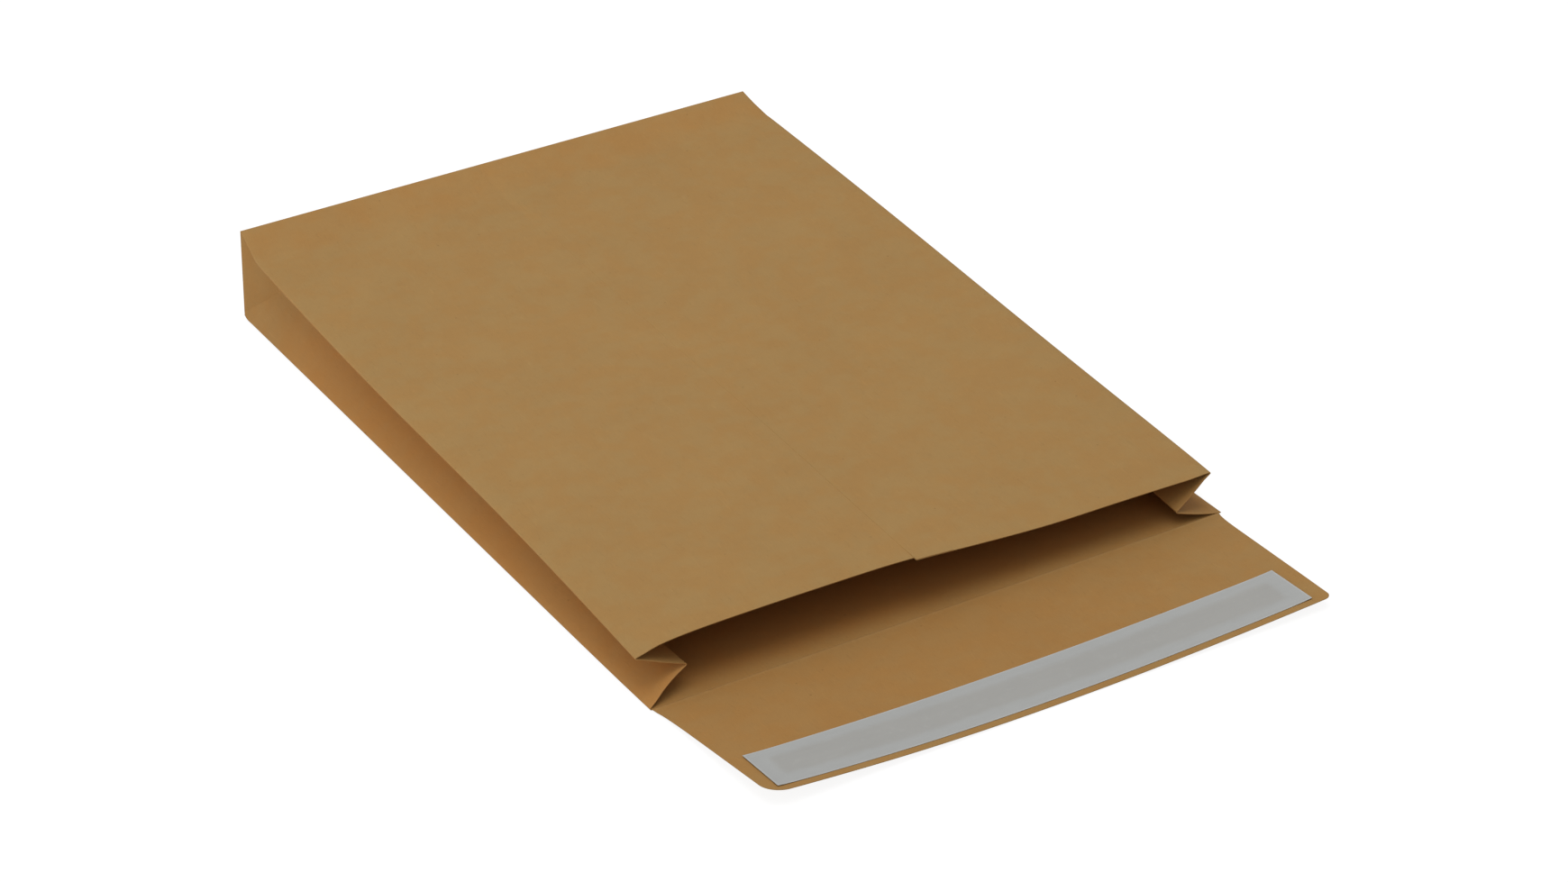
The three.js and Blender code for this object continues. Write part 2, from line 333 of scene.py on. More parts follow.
def top_run(y):
    """Points across the top panel, which lies a little unevenly and has the seam."""
    still_side = 40
    still_end = 60
    seam = lerp(SEAM_RISE_AT_MOUTH, SEAM_RISE_BEYOND, smooth(y, 0, SEAM_STEP_REACH))
    run = []
    for x in TOP_COLUMNS:
        point = softened(lambda at, x=x: top_point(x, at), y, panel_softness(x))
        edge = smooth(min(x + HALF_WIDTH, HALF_WIDTH - x), 0, still_side)
        edge *= smooth(CREASE_Y - y, 0, still_end)
        point.z += UNEVENNESS * edge * ripple(x, y, UNEVEN_SIZE, PANEL_SEED)
        run.append((point, seam_rise(x) * seam))
    return run


def gusset_run(start, end, y, bow):
    """Points on one half of a gusset, which bows a little near the mouth."""
    run = []
    for i in range(1, GUSSET_COLUMNS):
        t = i / GUSSET_COLUMNS
        point = start.lerp(end, t)
        outward = Vector((start.z - end.z, 0, end.x - start.x)).normalized()
        amount = bow * math.exp(-y / BOW_REACH) * math.sin(math.pi * t)
        run.append((point + outward * amount, 0.0))
    return run


def rounded_fold(before, corner, after, outward):
    """An arc that replaces a sharp corner, tangent to both of the flat pieces beside it.

    The corner is first moved outward by as much as the arc would cut off it, so that the fold's
    outermost line stays where the sharp corner was. An almost flat corner only gets more points.
    """
    half = (before - corner).angle(after - corner) / 2
    one = (before - corner).normalized()
    two = (after - corner).normalized()
    longest = LARGEST_SHARE * min((before - corner).length, (after - corner).length)
    if half > FLATTEST_FOLD:
        reach = min(FLAT_FOLD_REACH, longest)
        return [corner + one * reach * (1 - 2 * i / FOLD_STEPS) for i in range(FOLD_STEPS + 1)]
    reach = min(FOLD_RADIUS / math.tan(half), LONGEST_FOLD_REACH, longest)
    inward = (one + two).normalized()
    lost = max(abs(inward.x) * reach / math.cos(half) - reach * math.tan(half), 0.0)
    corner = corner + Vector((outward * lost, 0, 0))
    one = (before - corner).normalized()
    two = (after - corner).normalized()
    half = one.angle(two) / 2
    radius = reach * math.tan(half)
    inward = (one + two).normalized()
    centre = corner + inward * (reach / math.cos(half))
    sideways = (two - one).normalized()
    sweep = math.pi / 2 - half
    points = []
    for i in range(FOLD_STEPS + 1):
        turn = lerp(-sweep, sweep, i / FOLD_STEPS)
        points.append(centre - inward * radius * math.cos(turn) + sideways * radius * math.sin(turn))
    return points


def section_corners(y):
    """The four panel corners and the gusset folds of the cross-section, by name."""
    corners = {}
    for side, name in ((-1, "left"), (1, "right")):
        corners[name + " bottom"] = softened(lambda at, s=side: bottom_point(s * HALF_WIDTH, at), y)
        corners[name + " top"] = softened(lambda at, s=side: top_point(s * HALF_WIDTH, at), y)
        corners[name + " low"] = softened(lambda at, s=side: gusset_fold(s, False, at), y)
        corners[name + " high"] = softened(lambda at, s=side: gusset_fold(s, True, at), y)
    return corners


# Painted shade on the end strip beyond the crease: a deeper, more orange colour that fades in across
# the crease.
def strip_painted_shade(y):
    return STRIP_TONE * smooth(y, CREASE_Y - STRIP_TONE_BEFORE, CREASE_Y + STRIP_TONE_AFTER)


# Painted shade on the gussets along the sides: the deeper, more orange colour, with less of it towards
# the closed end.
def gusset_painted_shade(y):
    into_end = smooth(y, CREASE_Y - GUSSET_TONE_BEFORE, LENGTH - GUSSET_TONE_MARGIN)
    return lerp(1.0, END_PAINTED_SHADE, into_end)


def low_gusset_painted_shade(y):
    """The lower half of the right gusset is less deep near the mouth: it gets less painted shade there,
    where it lies in the light.
    """
    return gusset_painted_shade(y) * (1 - LOW_TONE_LOSS * math.exp(-y / LOW_TONE_REACH))


def cross_section(y):
    c = section_corners(y)
    strip = strip_painted_shade(y)
    deep = gusset_painted_shade(y)
    low = low_gusset_painted_shade(y)
    # Each piece is a corner's name, the run after it, the run's tone of painted shade and the side it
    # faces
    pieces = [
        ("left bottom", bottom_run(y), 0.0, -1),
        ("right bottom", gusset_run(c["right bottom"], c["right low"], y, RIGHT_LOW_BOW), low, 1),
        ("right low", [], deep, 0),
        ("right high", gusset_run(c["right high"], c["right top"], y, HIGH_BOW), deep, 0),
        ("right top", top_run(y)[::-1], strip, 1),
        ("left top", gusset_run(c["left top"], c["left high"], y, HIGH_BOW), deep, -1),
        ("left high", [], deep, 0),
        ("left low", gusset_run(c["left low"], c["left bottom"], y, LEFT_LOW_BOW), deep, 0),
    ]
    ring = []
    for i, (name, run, shade, outward) in enumerate(pieces):
        last_name, last_run, last_shade = pieces[i - 1][:3]
        before = last_run[-1][0] if last_run else c[last_name]
        after = run[0][0] if run else c[pieces[(i + 1) % len(pieces)][0]]
        arc = rounded_fold(before, c[name], after, outward)
        middle = (len(arc) - 1) / 2
        for k, point in enumerate(arc):
            worn = (1 - abs(k - middle) / (middle + 1)) * abs(outward)
            ring.append((point, 0.0, worn, lerp(last_shade, shade, k / (2 * middle))))
        ring += [(point, rise, 0.0, shade) for point, rise in run]
    # The ring starts at the first arc's middle, so the bottom panel is one unbroken run of columns
    turn = FOLD_STEPS // 2
    return ring[turn:] + ring[:turn]


BOTTOM_COUNT = PANEL_COLUMNS - 1 + 2 * (FOLD_STEPS // 2) + 1


def inset_ring(ring, distance):
    """The ring moved inwards by a distance, square to the sheet, in the plane of the section."""
    moved = []
    count = len(ring)
    for i, point in enumerate(ring):
        before = ring[i - 1]
        after = ring[(i + 1) % count]
        one = Vector((point.x - before.x, point.z - before.z)).normalized()
        two = Vector((after.x - point.x, after.z - point.z)).normalized()
        normal = Vector((-one.y - two.y, one.x + two.x)) * (distance / max(1 + one.dot(two), 0.2))
        moved.append(Vector((point.x + normal.x, point.y, point.z + normal.y)))
    return moved


# A mesh with guides for the paper's colour at each point

class Sheet:
    def __init__(self):
        self.points = []
        self.faces = []
        self.wear = []
        self.inside = []
        self.shade = []

    def row(self, points, wear, inside, shade=0.0):
        """Adds a row of points. A guide is one number for the row or a list with one for each point."""
        first = len(self.points)
        self.points += [placed(p) for p in points]
        for guide, value in ((self.wear, wear), (self.inside, inside), (self.shade, shade)):
            guide += [value] * len(points) if isinstance(value, float) else list(value)
        return list(range(first, len(self.points)))

    def quad(self, *corners):
        self.faces.append(corners)

    def make(self, name, material):
        mesh = bpy.data.meshes.new(name)
        mesh.from_pydata(self.points, [], self.faces)
        for label, values in (("wear", self.wear), ("inside", self.inside), ("shade", self.shade)):
            attribute = mesh.attributes.new(label, "FLOAT", "POINT")
            attribute.data.foreach_set("value", values)
        mesh.validate()
        mesh.polygons.foreach_set("use_smooth", [True] * len(mesh.polygons))
        mesh.set_sharp_from_angle(angle=SHARP_ANGLE)
        mesh.materials.append(material)
        piece = bpy.data.objects.new(name, mesh)
        bpy.context.scene.collection.objects.link(piece)
        return piece


def spaced(start, end, count):
    """That many evenly spaced values after the start, up to the end."""
    return [lerp(start, end, i / count) for i in range(1, count + 1)]


def length_stations():
    """Distances from the flap fold, close together at the mouth and at the crease."""
    crease_start = CREASE_Y - CREASE_ZONE
    crease_spacing = 0.75
    crease_count = round(2 * CREASE_ZONE / crease_spacing)
    corner_length = 4
    near = [0, 0.5, 1.2, 2.2, 3.6, 5.4, 7.6, 10.5, MOUTH_ZONE]
    steady = spaced(MOUTH_ZONE, crease_start, 54)
    crease = [crease_start + crease_spacing * i for i in range(1, crease_count + 1)]
    strip = spaced(CREASE_Y + CREASE_ZONE, LENGTH - corner_length, 6)
    corner = [LENGTH - before_end for before_end in (3.3, 2.6, 2.0, 1.4, END_ROUNDING)]
    return near + steady + crease + strip + corner


def mouth_wear(y):
    return MOUTH_WEAR * math.exp(-(y / MOUTH_WEAR_LENGTH) ** 2)


def close_bands(rings):
    """Each ring with the next one, and each point's number with its neighbour's, all round."""
    count = len(rings[0])
    for near, far in zip(rings, rings[1:]):
        for i in range(count):
            yield near, far, i, (i + 1) % count


def build_tube(sheet):
    """The outer and inner skins of the tube. Returns their rings at the mouth."""
    outer_rings = []
    inner_rings = []
    for y in length_stations():
        section = cross_section(y)
        base = [point for point, rise, wear, shade in section]
        raised = [point + Vector((0, 0, rise)) for point, rise, wear, shade in section]
        worn = [min(wear * FOLD_WEAR + mouth_wear(y), 1.0) for point, rise, wear, shade in section]
        tone = [shade for point, rise, wear, shade in section]
        # Painted shade inside the tube: the inner skin turns the deeper, more orange colour over the
        # first stretch in from the mouth.
        inner_painted_shade = smooth(y, 0, INSIDE_TONE_LENGTH)
        outer_rings.append(sheet.row(raised, worn, 0.0, tone))
        inner_rings.append(sheet.row(inset_ring(base, PAPER), worn, 1.0, inner_painted_shade))
    close_far_end(sheet, outer_rings, inner_rings)
    for near, far, i, k in close_bands(outer_rings):
        sheet.quad(near[k], near[i], far[i], far[k])
    for near, far, i, k in close_bands(inner_rings):
        sheet.quad(near[i], near[k], far[k], far[i])
    count = len(outer_rings[0])
    for i in range(BOTTOM_COUNT - 1, count):
        k = (i + 1) % count
        sheet.quad(outer_rings[0][i], outer_rings[0][k], inner_rings[0][k], inner_rings[0][i])
    return outer_rings[0][:BOTTOM_COUNT], inner_rings[0][:BOTTOM_COUNT]


def shrunk(ring, distance, y):
    """The closed end's outline made smaller all round by a distance and put at another y."""
    across = 1 - distance / HALF_WIDTH
    up = 1 - distance / HALF_GUSSET
    return [Vector((p.x * across, y, HALF_GUSSET + (p.z - HALF_GUSSET) * up)) for p in ring]


def close_far_end(sheet, outer_rings, inner_rings):
    """Rounds the tube's edge over to the flat end face and closes both skins there."""
    section = cross_section(LENGTH - END_ROUNDING)
    base = [point for point, rise, wear, shade in section]
    # The closed end's rounded edge gets at least the end's painted shade.
    tone = [max(shade, END_PAINTED_SHADE) for point, rise, wear, shade in section]
    for i in range(1, END_STEPS + 1):
        turn = math.pi / 2 * i / END_STEPS
        y = LENGTH - END_ROUNDING * (1 - math.sin(turn))
        ring = shrunk(base, END_ROUNDING * (1 - math.cos(turn)), y)
        outer_rings.append(sheet.row(ring, END_WEAR * math.sin(turn * 2), 0.0, tone))
    sheet.quad(*reversed(outer_rings[-1]))
    inner_rings.append(sheet.row(shrunk(base, END_ROUNDING + PAPER, LENGTH - PAPER), 0.0, 1.0))
    sheet.quad(*inner_rings[-1])


# The closing flap, an open continuation of the bottom panel

def flap_half_width(side, v):
    taper = LEFT_FLAP_TAPER if side < 0 else RIGHT_FLAP_TAPER
    corner = LEFT_FLAP_CORNER if side < 0 else RIGHT_FLAP_CORNER
    notch = FLAP_NOTCH * (1 - math.exp(-v / FLAP_NOTCH_LENGTH))
    straight = HALF_WIDTH - notch - (taper - FLAP_NOTCH) * v / FLAP_LENGTH
    into = min(max(v - (FLAP_LENGTH - corner), 0.0), corner)
    return straight - corner + math.sqrt(corner ** 2 - into ** 2)


def flap_height(x, v):
    lift = LEFT_FLAP_LIFT if x < 0 else RIGHT_FLAP_LIFT
    even = lift * (v / FLAP_LENGTH) * (x / HALF_WIDTH) ** 2
    uneven = FLAP_UNEVENNESS * smooth(v, 0, FLAP_UNEVEN_START)
    uneven *= 1 + ripple(x, v, FLAP_UNEVEN_SIZE, FLAP_SEED)
    ridge = FOLD_RIDGE * math.exp(-((v - FOLD_RIDGE_AT) / FOLD_RIDGE_WIDTH) ** 2)
    return even + uneven + ridge


def flap_stations():
    """Distances from the flap fold, close together at the fold and at the rounded corners."""
    near = [0.4, 0.9, 1.4, 2.0, 3.0]
    straight = FLAP_LENGTH - LEFT_FLAP_CORNER
    steady = spaced(near[-1], straight, 24)
    corner = [straight + LEFT_FLAP_CORNER * math.sin(turn) for turn in spaced(0, math.pi / 2, 18)]
    return near + steady + corner


def flap_painted_shade(x, v):
    """The flap's colour is deepest beside the fold, on the left: painted shade, as cast there by the
    envelope's mouth.
    """
    away = max(smooth(v, FLAP_TONE_V, FLAP_LENGTH), smooth(x, FLAP_TONE_X, HALF_WIDTH))
    return 1 - FLAP_TONE_LOSS * away


def build_flap(sheet, lower, upper):
    columns = len(lower)
    for v in flap_stations():
        left = -flap_half_width(-1, v)
        right = flap_half_width(1, v)
        points = []
        for i in range(columns):
            x = lerp(left, right, i / (columns - 1))
            points.append(Vector((x, -v, flap_height(x, v))))
        # The flap's fold is paler: partly the crease's own wear, partly a painted highlight along the
        # crease.
        fold = FLAP_FOLD_WEAR_AND_HIGHLIGHT * math.exp(-((v - FOLD_RIDGE_AT) / FLAP_FOLD_WEAR_AND_HIGHLIGHT_WIDTH) ** 2)
        next_lower = sheet.row(points, fold, 0.0)
        # The flap's upper face gets painted shade beside the fold, on the left.
        tone = [flap_painted_shade(p.x, v) for p in points]
        next_upper = sheet.row([p + Vector((0, 0, PAPER)) for p in points], fold, tone)
        for i in range(columns - 1):
            sheet.quad(lower[i], lower[i + 1], next_lower[i + 1], next_lower[i])
            sheet.quad(upper[i + 1], upper[i], next_upper[i], next_upper[i + 1])
        sheet.quad(upper[0], lower[0], next_lower[0], next_upper[0])
        sheet.quad(lower[-1], upper[-1], next_upper[-1], next_lower[-1])
        lower, upper = next_lower, next_upper
    for i in range(columns - 1):
        sheet.quad(lower[i], lower[i + 1], upper[i + 1], upper[i])


# The block bottom's two folded flaps, one over the other on the end face

END_FLAP_REACH = HALF_GUSSET + END_FLAP_OVERLAP / 2
END_FLAP_ACROSS = 64
END_FLAP_UP = 16
END_FLAP_MARGIN = END_ROUNDING + 0.8
END_FLAP_INSET = 1.2
END_FLAP_RAMP = 2.5
END_FLAP_SUNK = 0.06
END_FLAP_LIFT = 1.1
END_FLAP_EDGE = (-1.2, 0.4)
END_FLAP_UNEVENNESS = 0.06
END_FLAP_UNEVEN_SIZE = 30.0


def end_flap_out(x, z, ramp, layer):
    """How far an end flap's face stands out. The second one also lies on the first."""
    under = 0.0
    if layer == 2:
        inside = min(END_FLAP_REACH - z, HALF_WIDTH - z - abs(x))
        under = smooth(inside, *END_FLAP_EDGE)
    uneven = END_FLAP_UNEVENNESS * ramp * ripple(x, z, END_FLAP_UNEVEN_SIZE, END_SEED + layer)
    return PAPER * (END_FLAP_LIFT + under) * ramp + uneven


def end_flap(sheet, base_z, direction, layer):
    across = END_FLAP_ACROSS
    up = END_FLAP_UP
    top_rows = []
    back_rows = []
    for j in range(up + 1):
        rise = lerp(END_FLAP_MARGIN, END_FLAP_REACH, j / up)
        z = base_z + direction * rise
        half = HALF_WIDTH - END_TAPER * z / GUSSET - rise - END_FLAP_INSET
        ramp = smooth(rise, END_FLAP_MARGIN, END_FLAP_MARGIN + END_FLAP_RAMP)
        top = []
        for i in range(across + 1):
            x = lerp(-half, half, i / across)
            top.append(Vector((x, LENGTH + end_flap_out(x, z, ramp, layer), z)))
        back = [Vector((p.x, LENGTH - END_FLAP_SUNK, p.z)) for p in top]
        edge = [FOLD_WEAR if j == up else 0.0] * (across + 1)
        edge[0] = FOLD_WEAR
        edge[-1] = FOLD_WEAR
        # The end flaps get the end's painted shade.
        top_rows.append(sheet.row(top, edge, 0.0, END_PAINTED_SHADE))
        back_rows.append(sheet.row(back, edge, 0.0, END_PAINTED_SHADE))
    flipped = direction < 0
    rows = list(zip(top_rows, back_rows))
    for (top, back), (next_top, next_back) in zip(rows, rows[1:]):
        for i in range(across):
            end_quad(sheet, flipped, top[i], next_top[i], next_top[i + 1], top[i + 1])
            end_quad(sheet, flipped, back[i], back[i + 1], next_back[i + 1], next_back[i])
        end_quad(sheet, flipped, top[0], back[0], next_back[0], next_top[0])
        end_quad(sheet, flipped, top[-1], next_top[-1], next_back[-1], back[-1])
    first_top, first_back = rows[0]
    last_top, last_back = rows[-1]
    for i in range(across):
        end_quad(sheet, flipped, first_top[i], first_top[i + 1], first_back[i + 1], first_back[i])
        end_quad(sheet, flipped, last_top[i], last_back[i], last_back[i + 1], last_top[i + 1])


def end_quad(sheet, flipped, *corners):
    sheet.quad(*(reversed(corners) if flipped else corners))


def build_envelope(material):
    sheet = Sheet()
    lower, upper = build_tube(sheet)
    build_flap(sheet, lower, upper)
    end_flap(sheet, 0.0, 1, 1)
    end_flap(sheet, GUSSET, -1, 2)
    return sheet.make("kraft_envelope", material)


# The adhesive film and the liner over it

LINER_FAR = FLAP_LENGTH - LINER_END_MARGIN
LINER_MIDDLE = LINER_FAR - LINER_WIDTH / 2
ADHESIVE_LENGTH = LINER_LENGTH - 2 * ADHESIVE_END_MARGIN
FILM_GAP = 0.05
LINER_STEP = (-2.6, 0.2)


def inside_band(x, v):
    """How far a point lies inside the adhesive's outline, in millimetres."""
    return min(ADHESIVE_LENGTH / 2 - abs(x), ADHESIVE_WIDTH / 2 - abs(v - LINER_MIDDLE))


def film(name, length, width, height, thickness, material, columns, rows):
    """A thin sheet on the flap. height(x, v) is its underside's height above the flap's top face."""
    sheet = Sheet()
    tops = []
    backs = []
    for j in range(rows + 1):
        v = LINER_MIDDLE + lerp(width / 2, -width / 2, j / rows)
        line = []
        for i in range(columns + 1):
            x = lerp(-length / 2, length / 2, i / columns)
            line.append(Vector((x, -v, flap_height(x, v) + PAPER + height(x, v))))
        backs.append(sheet.row(line, 0.0, 0.0))
        tops.append(sheet.row([p + Vector((0, 0, thickness)) for p in line], 0.0, 0.0))
    for j in range(rows):
        for i in range(columns):
            sheet.quad(tops[j][i], tops[j][i + 1], tops[j + 1][i + 1], tops[j + 1][i])
            sheet.quad(backs[j][i + 1], backs[j][i], backs[j + 1][i], backs[j + 1][i + 1])
        sheet.quad(backs[j][0], tops[j][0], tops[j + 1][0], backs[j + 1][0])
        sheet.quad(tops[j][-1], backs[j][-1], backs[j + 1][-1], tops[j + 1][-1])
    for i in range(columns):
        sheet.quad(backs[0][i], backs[0][i + 1], tops[0][i + 1], tops[0][i])
        sheet.quad(tops[-1][i], tops[-1][i + 1], backs[-1][i + 1], backs[-1][i])
    return sheet.make(name, material)


def liner_height(x, v):
    over_adhesive = smooth(inside_band(x, v), *LINER_STEP)
    end_curl = LINER_CURL * math.exp(-(LINER_LENGTH / 2 - abs(x)) / LINER_CURL_LENGTH)
    return FILM_GAP + over_adhesive * (ADHESIVE_THICKNESS + FILM_GAP) + end_curl


def adhesive_height(x, v):
    return FILM_GAP


# Materials

def srgb(red, green, blue):
    def linear(value):
        value /= 255
        return value / 12.92 if value <= 0.04045 else ((value + 0.055) / 1.055) ** 2.4
    return (linear(red), linear(green), linear(blue), 1.0)


class Nodes:
    """A short way to write a material's nodes."""

    def __init__(self, name):
        self.material = bpy.data.materials.new(name)
        self.material.use_nodes = True
        self.tree = self.material.node_tree
        self.tree.nodes.clear()
        self.output = self.add("ShaderNodeOutputMaterial")
        self.position = self.add("ShaderNodeTexCoord").outputs["Object"]

    def add(self, kind, **settings):
        node = self.tree.nodes.new(kind)
        for key, value in settings.items():
            setattr(node, key, value)
        return node

    def link(self, source, target):
        self.tree.links.new(source, target)

    def feed(self, socket, value):
        if isinstance(value, bpy.types.NodeSocket):
            self.link(value, socket)
        else:
            socket.default_value = value

    def math(self, operation, one, two=0.0, three=0.0):
        node = self.add("ShaderNodeMath", operation=operation)
        for socket, value in zip(node.inputs, (one, two, three)):
            self.feed(socket, value)
        return node.outputs[0]

    def centred(self, value):
        return self.math("SUBTRACT", value, 0.5)

    def weighted(self, *layers):
        """The sum of the layers, each of which is (value, weight)."""
        total = 0.0
        for value, weight in layers:
            total = self.math("MULTIPLY_ADD", value, weight, total)
        return total

    def span(self, value, low, high, to_low=0.0, to_high=1.0):
        node = self.add("ShaderNodeMapRange", interpolation_type="SMOOTHSTEP")
        for socket, item in zip(node.inputs, (value, low, high, to_low, to_high)):
            self.feed(socket, item)
        return node.outputs[0]

    def stretched(self, scale, turn=0.0):
        node = self.add("ShaderNodeMapping")
        self.link(self.position, node.inputs["Vector"])
        node.inputs["Rotation"].default_value = (0, 0, math.radians(turn))
        node.inputs["Scale"].default_value = scale
        return node.outputs[0]

    def noise(self, scale, detail=2.0, roughness=0.5, vector=None, distortion=0.0):
        node = self.add("ShaderNodeTexNoise")
        self.link(vector or self.position, node.inputs["Vector"])
        node.inputs["Scale"].default_value = scale
        node.inputs["Detail"].default_value = detail
        node.inputs["Roughness"].default_value = roughness
        node.inputs["Distortion"].default_value = distortion
        return node.outputs["Fac"]

    def blend(self, factor, one, two):
        node = self.add("ShaderNodeMix", data_type="RGBA")
        self.feed(node.inputs["Factor"], factor)
        self.feed(node.inputs["A"], one)
        self.feed(node.inputs["B"], two)
        return next(s for s in node.outputs if s.type == "RGBA")

    def guide(self, name):
        return self.add("ShaderNodeAttribute", attribute_name=name).outputs["Fac"]

    def shade(self, colour, amount):
        """The colour made lighter or darker by an amount, where 0 leaves it as it is."""
        node = self.add("ShaderNodeVectorMath", operation="SCALE")
        self.link(colour, node.inputs[0])
        self.feed(node.inputs["Scale"], self.math("ADD", amount, 1.0))
        return node.outputs[0]

    def bump(self, height, strength, distance):
        node = self.add("ShaderNodeBump")
        node.inputs["Strength"].default_value = strength
        node.inputs["Distance"].default_value = distance
        self.link(height, node.inputs["Height"])
        return node.outputs[0]

    def finish(self, colour, roughness, normal, specular):
        shader = self.add("ShaderNodeBsdfPrincipled")
        self.feed(shader.inputs["Base Color"], colour)
        self.feed(shader.inputs["Roughness"], roughness)
        self.link(normal, shader.inputs["Normal"])
        shader.inputs["Specular IOR Level"].default_value = specular
        self.link(shader.outputs[0], self.output.inputs["Surface"])
        return self.material


def fibres(nodes, turn, fineness):
    """Short thin fibres that lie roughly along one direction, as a value from 0 to 1."""
    wander = nodes.stretched((1500 * fineness, 190 * fineness, 900 * fineness), turn)
    strands = nodes.noise(1.0, 1.5, 0.5, wander, 1.2)
    return nodes.span(strands, 0.60, 0.74)


def specks(nodes):
    """Small dark specks, far apart, as a value from 0 to 1."""
    cells = nodes.add("ShaderNodeTexVoronoi", feature="F1")
    nodes.link(nodes.position, cells.inputs["Vector"])
    cells.inputs["Scale"].default_value = 150
    near_centre = nodes.span(cells.outputs["Distance"], 0.035, 0.085, 1.0, 0.0)
    tones = nodes.add("ShaderNodeSeparateColor")
    nodes.link(cells.outputs["Color"], tones.inputs[0])
    chosen = nodes.span(tones.outputs[0], 0.74, 0.80)
    return nodes.math("MULTIPLY", near_centre, chosen)


def kraft_material():
    nodes = Nodes("kraft_paper")
    mottle = nodes.span(nodes.noise(75, 3, 0.6), 0.35, 0.65)
    outside = nodes.blend(mottle, srgb(165, 130, 78), srgb(166, 127, 73))
    # deep and deep_inner are deeper, more orange copies of the paper's two sides: painted shade, mixed
    # in by the shade guide where the paper lies in shade.
    deep = nodes.blend(mottle, srgb(178, 129, 70), srgb(179, 127, 66))
    inner = nodes.blend(mottle, srgb(164, 123, 69), srgb(165, 121, 65))
    deep_inner = nodes.blend(mottle, srgb(180, 125, 65), srgb(181, 123, 62))
    outside = nodes.blend(nodes.guide("shade"), outside, deep)
    inner = nodes.blend(nodes.guide("shade"), inner, deep_inner)
    colour = nodes.blend(nodes.guide("inside"), outside, inner)

    clouds = nodes.centred(nodes.noise(28, 3, 0.55))
    formation = nodes.centred(nodes.noise(210, 4, 0.6))
    grain = nodes.centred(nodes.noise(2600, 2, 0.6))
    long_fibres = fibres(nodes, 8, 1.0)
    cross_fibres = fibres(nodes, 74, 1.2)
    pale_fibres = fibres(nodes, -31, 0.9)

    colour = nodes.shade(colour, nodes.weighted(
        (clouds, 0.10),
        (formation, 0.09),
        (grain, 0.10),
        (long_fibres, -0.055),
        (cross_fibres, -0.035),
        (pale_fibres, 0.05),
        (specks(nodes), -0.20),
    ))

    # The wear guide mixes in a paler colour: wear at folds and edges, and along the flap's fold also a
    # painted highlight.
    broken = nodes.span(nodes.noise(420, 3, 0.6), 0.3, 0.65, 0.35, 1.0)
    worn = nodes.math("MULTIPLY", nodes.guide("wear"), broken)
    colour = nodes.blend(nodes.math("MULTIPLY", worn, 0.14), colour, srgb(196, 164, 118))

    rough = nodes.math("MULTIPLY_ADD", formation, 0.12, 0.80)
    relief = nodes.weighted(
        (formation, 0.8),
        (grain, 0.6),
        (long_fibres, 0.35),
        (cross_fibres, 0.25),
    )
    normal = nodes.bump(relief, 0.35, 0.00012)
    return nodes.finish(colour, rough, normal, 0.25)


def liner_band(nodes, across, along_flap):
    """Where the adhesive shows through the liner, with soft, slightly uneven edges."""
    wobble = nodes.math("MULTIPLY", nodes.centred(nodes.noise(160, 4)), 0.003)
    soft = 0.0021
    parts = []
    for distance, size in ((across, ADHESIVE_LENGTH), (along_flap, ADHESIVE_WIDTH)):
        half = size / 2 * MM
        uneven = nodes.math("ADD", distance, wobble)
        parts.append(nodes.span(uneven, half - soft, half + soft, 1.0, 0.0))
    return nodes.math("MULTIPLY", *parts)


def liner_rim_highlight(nodes, across, along_flap):
    """The liner's cut edge, made paler than its face as a painted highlight."""
    edge_start = 0.0009
    edge_end = 0.0003
    parts = []
    for distance, size in ((across, LINER_LENGTH), (along_flap, LINER_WIDTH)):
        half = size / 2 * MM
        parts.append(nodes.span(distance, half - edge_start, half - edge_end))
    return nodes.math("MAXIMUM", *parts)


def liner_material():
    nodes = Nodes("release_paper")
    place = nodes.add("ShaderNodeSeparateXYZ")
    nodes.link(nodes.position, place.inputs[0])
    middle = -(LINER_MIDDLE + MIDDLE_Y) * MM
    across = nodes.math("ABSOLUTE", place.outputs["X"])
    along_flap = nodes.math("ABSOLUTE", nodes.math("SUBTRACT", place.outputs["Y"], middle))
    band = liner_band(nodes, across, along_flap)

    bare = srgb(172, 173, 171)
    stuck = srgb(166, 165, 161)
    colour = nodes.blend(band, bare, stuck)
    streaks = nodes.centred(nodes.noise(1.0, 3, 0.55, nodes.stretched((28, 420, 60))))
    clouds = nodes.centred(nodes.noise(90, 3, 0.6))
    grain = nodes.centred(nodes.noise(1900, 2, 0.5))
    blisters = nodes.math("MULTIPLY", nodes.span(nodes.noise(330, 2, 0.5), 0.60, 0.72), band)
    colour = nodes.shade(colour, nodes.weighted(
        (streaks, 0.06),
        (clouds, 0.06),
        (grain, 0.035),
        (blisters, 0.035),
        # a painted highlight along the liner's cut edge
        (liner_rim_highlight(nodes, across, along_flap), 0.13),
    ))

    rough = nodes.math("MULTIPLY_ADD", clouds, 0.10, 0.46)
    relief = nodes.weighted(
        (grain, 0.3),
        (streaks, 0.5),
        (blisters, 0.4),
    )
    normal = nodes.bump(relief, 0.25, 0.0001)
    return nodes.finish(colour, rough, normal, 0.4)


def adhesive_material():
    nodes = Nodes("adhesive_film")
    clouds = nodes.noise(140, 3, 0.6)
    colour = nodes.blend(clouds, srgb(206, 200, 182), srgb(222, 217, 203))
    bubbles = nodes.span(nodes.noise(900, 2, 0.5), 0.58, 0.70)
    normal = nodes.bump(bubbles, 0.3, 0.0001)
    return nodes.finish(colour, nodes.span(clouds, 0.2, 0.8, 0.22, 0.34), normal, 0.5)


# Floor, light and camera

